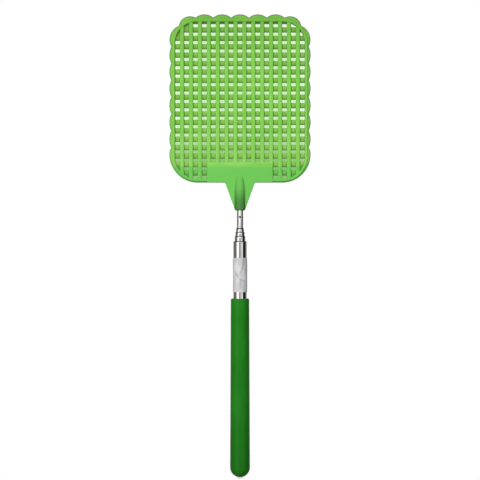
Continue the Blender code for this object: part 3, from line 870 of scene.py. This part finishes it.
def leaf_green_plastic():
    """Satin moulded plastic, faintly mottled, with painted shade and painted light in its colour.
    """
    finish = Finish("leaf_green_plastic", {"IOR": 1.49, "Specular IOR Level": 0.3})
    clouds = finish.noise(14, 2)
    flow = finish.noise(2.5, 4, (1, 1, 0.25))
    colour = finish.mix(finish.between(clouds, 0, 1), (0.185, 0.560, 0.066), (0.235, 0.615, 0.088))
    colour = finish.mix(finish.between(flow, 0, 0.35), colour, (0.26, 0.65, 0.115))
    size = paddle_sizes()
    height = finish.axis("Z")
    top = size["rim_top"]
    # Painted shade: darker towards the top of the head.
    crown = finish.between(height, 0, 1, (top + TOP_SHADE_START) * MM, (top + TOP_SHADE_END) * MM)
    colour = finish.mix(crown, colour, (0.76, 0.78, 0.74), "MULTIPLY")
    # Painted shade on the scalloped edge where it turns away from the front.
    colour = finish.mix(turned_edge_shade(finish, size), colour, (0.66, 0.58, 0.68), "MULTIPLY")
    plate_low, plate_high = size["low"] * MM, (size["low_row"] + PLATE_LIGHT_TOP) * MM
    # Painted light: paler towards the plate.
    painted_light_near_plate = finish.between(height, 1, 0, plate_high, plate_high + PAINTED_LIGHT_REACH * MM)
    colour = finish.mix(painted_light_near_plate, colour, (1.14, 1.06, 1.22), "MULTIPLY")
    # Painted light: the plate and neck get a plainer green, as the thin ribs glow yellower with the
    # light that shines through them.
    plate = finish.between(height, 1, 0, plate_high - PLATE_LIGHT_FADE * MM, plate_high)
    colour = finish.mix(plate, colour, (0.155, 0.57, 0.092))
    # Painted shade on the boss, where the tube inside stops light shining through: darkest at its
    # lower end, and darker on its sides.
    core_shade = finish.between(finish.from_pole(), 1, 0, CORE_RADIUS * MM, CORE_EDGE * MM)
    below = finish.between(height, 1, 0, plate_low, plate_low + CORE_FADE * MM)
    darkest, palest = ((size["end"] + above) * MM for above in (CORE_DARKEST, CORE_PALEST))
    low_end = finish.between(height, 1, 0, darkest, palest)
    core_shade_colour = finish.mix(low_end, (0.150, 0.53, 0.092), (0.062, 0.240, 0.042))
    side = finish.between(finish.frontness(), 1, 0, 0.3, 0.95)
    core_shade_colour = finish.mix(side, core_shade_colour, (0.66, 0.62, 0.62), "MULTIPLY")
    colour = finish.mix(finish.math("MULTIPLY", core_shade, below), colour, core_shade_colour)
    # Painted shade near the middle plane, on the set-back level ribs and the edge.
    depth = finish.math("ABSOLUTE", finish.axis("Y"))
    inner = finish.between(depth, 1, 0, INNER_DEPTH * MM, OUTER_DEPTH * MM)
    colour = finish.mix(inner, colour, (1.0, 0.90, 0.95), "MULTIPLY")
    # Painted shade in the hollows.
    finish.set("Base Color", finish.mix(finish.hollow_shade(), colour, (0.90, 0.68, 0.70), "MULTIPLY"))
    finish.set("Roughness", finish.between(finish.noise(0.8, 2), 0.32, 0.44))
    finish.set("Subsurface Weight", 0.1)
    finish.set("Subsurface Radius", (0.6 * MM, 1.6 * MM, 0.4 * MM))
    finish.set("Subsurface Scale", 1.0)
    finish.bump(finish.noise(0.25, 2), 0.008)
    finish.bump(finish.noise(6, 1), 0.05)
    return finish.material


def turned_edge_shade(finish, size):
    """The share of painted shade where the scalloped edge turns away, outside the rim."""
    corner = RIM_INNER_ROUND + RIM_WIDTH
    middle = (size["rim_top"] + size["rim_low"]) / 2
    along = finish.math("SUBTRACT", finish.axis("Z"), middle * MM)
    from_corners = []
    for place, half in ((finish.axis("X"), size["rim_half"]), (along, size["rim_top"] - middle)):
        straight = finish.math("SUBTRACT", finish.math("ABSOLUTE", place), (half - corner) * MM)
        from_corners.append(finish.math("MAXIMUM", straight, 0.0))
    both = finish.node("CombineXYZ", dict(zip("XY", from_corners))).outputs[0]
    distance = finish.node("VectorMath", {0: both}, operation="LENGTH").outputs["Value"]
    outside = finish.between(distance, 0, 1, corner * MM, (corner + 0.3) * MM)
    above = finish.between(finish.axis("Z"), 0, 1, (size["low"] - 0.5) * MM, size["low"] * MM)
    turned_away = finish.between(finish.frontness(), 1, 0, 0.93, 0.999)
    return finish.math("MULTIPLY", outside, finish.math("MULTIPLY", turned_away, above))


def dark_green_rubber():
    """A soft sleeve with a fine matt grain, rubbed a little smoother where it is held."""
    finish = Finish("dark_green_rubber", {"IOR": 1.5, "Specular IOR Level": 0.15})
    clouds = finish.noise(9, 3, (1, 1, 0.4))
    colour = finish.mix(finish.between(clouds, 0, 1), (0.011, 0.178, 0.007), (0.016, 0.215, 0.011))
    lint = finish.noise(0.5, 2, (1, 1, 0.5))
    colour = finish.mix(finish.between(lint, 0, 0.25, 0.62, 0.75), colour, (0.06, 0.26, 0.05))
    height = finish.axis("Z")
    # Darker towards the lower end.
    low_end = finish.between(height, 1, 0, 0.0, 45 * MM)
    finish.set("Base Color", finish.mix(low_end, colour, (0.0085, 0.148, 0.0055)))
    wear_and_crease_shade = finish.noise(20, 2)
    finish.set("Roughness", finish.between(wear_and_crease_shade, 0.28, 0.38))
    finish.bump(finish.noise(0.22, 3), 0.012)
    finish.bump(finish.noise(12, 2, (1, 1, 0.3)), 0.06)
    return finish.material


def polished_steel():
    """Drawn steel tube: fine lines along it, faint smudges and a few hairline scratches."""
    finish = Finish("polished_steel", {"Metallic": 1.0})
    lines = finish.noise(0.12, 3, (1, 1, 0.01))
    smudges = finish.noise(5, 3, (1, 1, 0.5))
    colour = finish.mix(finish.between(smudges, 0, 1), (0.80, 0.79, 0.775), (0.88, 0.875, 0.87))
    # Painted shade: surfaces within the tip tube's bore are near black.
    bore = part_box("tube_1_tip")[1].x - TUBE_WALL[1] * MM
    unlit = finish.between(finish.from_pole(), 1, 0, bore + 0.05 * MM, bore + 0.12 * MM)
    finish.set("Base Color", finish.mix(unlit, colour, (0.02, 0.02, 0.02)))
    rough = finish.between(smudges, 0.025, 0.045)
    finish.set("Roughness", finish.math("ADD", rough, finish.between(lines, 0, 0.012)))
    finish.bump(lines, 0.0006)
    scratches = finish.noise(0.5, 2, (1, 1, 0.06))
    finish.bump(finish.between(scratches, 0, 1, 0.70, 0.74), 0.0008)
    return finish.material


def white_paper():
    """Blank matt paper, handled and softly mottled, with a slightly warm, grubby lower edge and
    painted shade along its creases.
    """
    finish = Finish("white_paper", {"Roughness": 0.6})
    fibres = finish.noise(0.3, 4, (1, 1, 0.6))
    colour = finish.mix(finish.between(fibres, 0, 1), (0.675, 0.68, 0.695), (0.725, 0.73, 0.735))
    handled = finish.between(finish.noise(2.4, 2, (1, 1, 0.4)), 0, 1, 0.38, 0.60)
    colour = finish.mix(handled, colour, (0.84, 0.84, 0.85), "MULTIPLY")
    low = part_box("label_band")[0].z
    edge = finish.between(finish.axis("Z"), 0.35, 0, low, low + 2.5 * MM)
    colour = finish.mix(edge, colour, (0.64, 0.52, 0.58))
    # Painted shade along the creases.
    fold = finish.node("Attribute", {}, attribute_name="fold").outputs["Fac"]
    wear_and_crease_shade = finish.between(fold, 0, 0.42, 0.01, 0.16)
    finish.set("Base Color", finish.mix(wear_and_crease_shade, colour, (0.10, 0.10, 0.105)))
    finish.bump(fibres, 0.01)
    return finish.material


def turned_metal(name, bright, dull, roughness):
    """Rings left by the lathe, and a light tarnish."""
    finish = Finish(name, {"Metallic": 1.0})
    tarnish = finish.noise(1.6, 4)
    finish.set("Base Color", finish.mix(finish.between(tarnish, 0, 1), bright, dull))
    rings = finish.node("TexWave", {"Vector": finish.place, "Scale": 1400.0}, bands_direction="Z")
    finish.set("Roughness", finish.between(tarnish, roughness, roughness + 0.15))
    finish.bump(rings.outputs["Fac"], 0.004)
    return finish.material


def grey_nylon():
    """Moulded plastic, faintly clouded."""
    finish = Finish("grey_nylon", {"IOR": 1.53})
    clouds = finish.noise(2, 3)
    colour = finish.mix(finish.between(clouds, 0, 1), (0.065, 0.065, 0.067), (0.09, 0.09, 0.09))
    finish.set("Base Color", colour)
    finish.set("Roughness", finish.between(clouds, 0.42, 0.55))
    finish.bump(finish.noise(0.2, 2), 0.01)
    return finish.material


# ---------------------------------------------------------------- the swatter


def place(piece, body, material, node):
    """Puts a finished piece on its body, in place of the CAD node it stands for."""
    piece.data.materials.clear()
    piece.data.materials.append(material)
    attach(piece, body)
    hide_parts(node)


def build_swatter():
    """Every piece, on its own body."""
    steel = polished_steel()
    brass = turned_metal("turned_brass", (0.62, 0.40, 0.13), (0.42, 0.27, 0.10), 0.28)
    bronze = turned_metal("spring_bronze", (0.54, 0.27, 0.11), (0.36, 0.17, 0.08), 0.32)
    place(paddle(), "stage_1", leaf_green_plastic(), "swatter_paddle")
    place(grip(), "handle", dark_green_rubber(), "grip")
    place(wrap(), "handle", white_paper(), "label_band")
    place(plug(), "handle", grey_nylon(), "base_plug")
    place(tube(5), "handle", steel, "tube_5_outer")
    place(tip_tube(), "stage_1", steel, "tube_1_tip")
    for number in (2, 3, 4):
        place(tube(number), f"stage_{number}", steel, f"tube_{number}")
    for number in (1, 2, 3, 4):
        place(foot(number), f"stage_{number}", brass, f"foot_{number}")
        for side in ("left", "right"):
            node = f"friction_shim_{number}_{side}"
            place(shim(number, side), f"shims_{number}", bronze, node)


# ---------------------------------------------------------------- studio


def studio_world():
    """White to the camera, a soft box for matt surfaces, and tall panels for steel to mirror."""
    world = bpy.data.worlds.new("studio")
    world.use_nodes = True
    # The sky differs by kind of ray, so it must only ever be met by a ray of a known kind.
    world.cycles.sampling_method = "NONE"
    sky = Nodes(world.node_tree)
    way = sky.node("TexCoord", {}).outputs["Generated"]
    split = sky.node("SeparateXYZ", {0: way}).outputs
    azimuth = sky.math("ARCTAN2", split["X"], sky.math("MULTIPLY", split["Y"], -1.0))
    turn = sky.between(azimuth, 0, 1, -math.pi, math.pi, "LINEAR")
    low, high = (
        sky.ramp(turn, [((angle + 180) / 360, colour) for angle, colour in panels])
        for panels in (LOW_PANELS, HIGH_PANELS)
    )
    panels = sky.mix(sky.between(split["Z"], 0, 1, *PANEL_STEP, "LINEAR"), low, high)
    height = sky.between(split["Z"], 1, CEILING, CEILING_START, CEILING_END)

    soft_box = Vector(SOFT_BOX_WAY).normalized()
    aim = sky.node("VectorMath", {0: way, 1: soft_box}, operation="DOT_PRODUCT").outputs["Value"]
    soft = sky.between(aim, SKY_FAR, SKY_NEAR, -1, 1)

    rays = sky.node("LightPath", {}).outputs
    white = sky.node("Background", {"Color": (1, 1, 1)}).outputs[0]
    matt = sky.node("Background", {"Color": (1, 1, 1), "Strength": soft}).outputs[0]
    shiny = sky.node("Background", {"Color": panels, "Strength": height}).outputs[0]
    seen = sky.mix_shaders(rays["Is Glossy Ray"], matt, shiny)
    seen = sky.mix_shaders(rays["Is Camera Ray"], seen, white)
    sky.feed(sky.tree.nodes["World Output"].inputs["Surface"], seen)
    bpy.context.scene.world = world


def sheet_white(name, shades):
    """A new finish, and white that is shaded where it is nearly covered."""
    finish = Finish(name)
    inputs = {"Distance": SHADE_REACH * MM}
    openness = finish.node("AmbientOcclusion", inputs, samples=SHADE_SAMPLES).outputs["AO"]
    return finish, finish.ramp(openness, shades)


def glow(finish, colour, shown):
    """Lets the camera see a colour as it is, and nothing where shown is 0 or from behind."""
    front = finish.math("SUBTRACT", 1.0, finish.node("NewGeometry", {}).outputs["Backfacing"])
    clear = finish.node("BsdfTransparent", {}).outputs[0]
    bright = finish.node("Emission", {"Color": colour, "Strength": 1.0}).outputs[0]
    mixed = finish.mix_shaders(finish.math("MULTIPLY", front, shown), clear, bright)
    finish.feed(finish.tree.nodes["Material Output"].inputs["Surface"], mixed)
    return finish.material


def floor_white():
    """A pale floor, with a painted shadow close to the swatter."""
    finish, colour = sheet_white("floor_white", FLOOR_SHADES)
    return glow(finish, colour, 1.0)


def painted_shade_card():
    """The card takes a green shade from the plate, which fades with the height above it."""
    finish, colour = sheet_white("painted_shade_card", CARD_SHADES)
    size = paddle_sizes()
    plate_high = (size["low_row"] + PLATE_ROWS * ROW_PITCH) * MM
    reach = plate_high + PLATE_SHADE_REACH * MM
    start = plate_high - PLATE_SHADE_START * MM
    near_plate = finish.between(finish.axis("Z"), 1, 0, start, reach)
    colour = finish.mix(near_plate, colour, PLATE_SHADE, "MULTIPLY")
    geometry = finish.node("NewGeometry", {}).outputs
    inputs = {0: geometry["Incoming"], 1: geometry["Normal"]}
    cosine = finish.node("VectorMath", inputs, operation="DOT_PRODUCT").outputs["Value"]
    return glow(finish, colour, finish.between(cosine, 0, 1, CARD_CLEAR, CARD_SHOWN))


def white_sheet(name, corners, material):
    """A stage surface, facing the side from which its corners run counterclockwise."""
    mesh = bpy.data.meshes.new(name)
    mesh.from_pydata(corners, [], [tuple(range(len(corners)))])
    mesh.materials.append(material)
    sheet = bpy.data.objects.new(name, mesh)
    bpy.context.scene.collection.objects.link(sheet)
    sheet.visible_glossy = False
    sheet.visible_diffuse = False
    sheet.visible_shadow = False
    return sheet


def sheets():
    """A pale floor, and a card of painted shade behind the mesh that ends behind the rim and rides
    the paddle.
    """
    half, floor = FLOOR_HALF_SIZE, cad_low.z - SHEET_GAP
    signs = ((-1, -1), (1, -1), (1, 1), (-1, 1))
    corners = [(x * half, y * half, floor) for x, y in signs]
    white_sheet("floor", corners, floor_white())
    back = cad_high.y + SHEET_GAP
    corners = [(x * MM, back, z * MM) for x, z in rim_path(paddle_sizes(), 0)]
    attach(white_sheet("card", corners, painted_shade_card()), "stage_1")


def studio():
    """The sky, the sheets, the lamps and the camera."""
    scene = bpy.context.scene
    scene.view_settings.view_transform = "Standard"
    studio_world()
    sheets()
    middle = Vector((0, 0, (cad_low.z + cad_high.z) / 2))
    for name, (way, power) in LAMPS.items():
        lamp = bpy.data.objects.new(name, bpy.data.lights.new(name, "AREA"))
        lamp.data.size = LAMP_SIZE
        lamp.data.energy = power
        lamp.location = middle + Vector(way).normalized() * LAMP_DISTANCE
        lamp.rotation_euler = (middle - lamp.location).to_track_quat("-Z", "Y").to_euler()
        lamp.visible_glossy = False
        scene.collection.objects.link(lamp)

    camera = bpy.data.objects.new("camera", bpy.data.cameras.new("camera"))
    camera.data.lens = camera.data.sensor_width * CAMERA_DISTANCE / FRAME_SIDE
    camera.location = (0, -CAMERA_DISTANCE, CAMERA_HEIGHT)
    camera.rotation_euler = (math.pi / 2, 0, 0)
    scene.collection.objects.link(camera)
    scene.camera = camera


build_swatter()
studio()
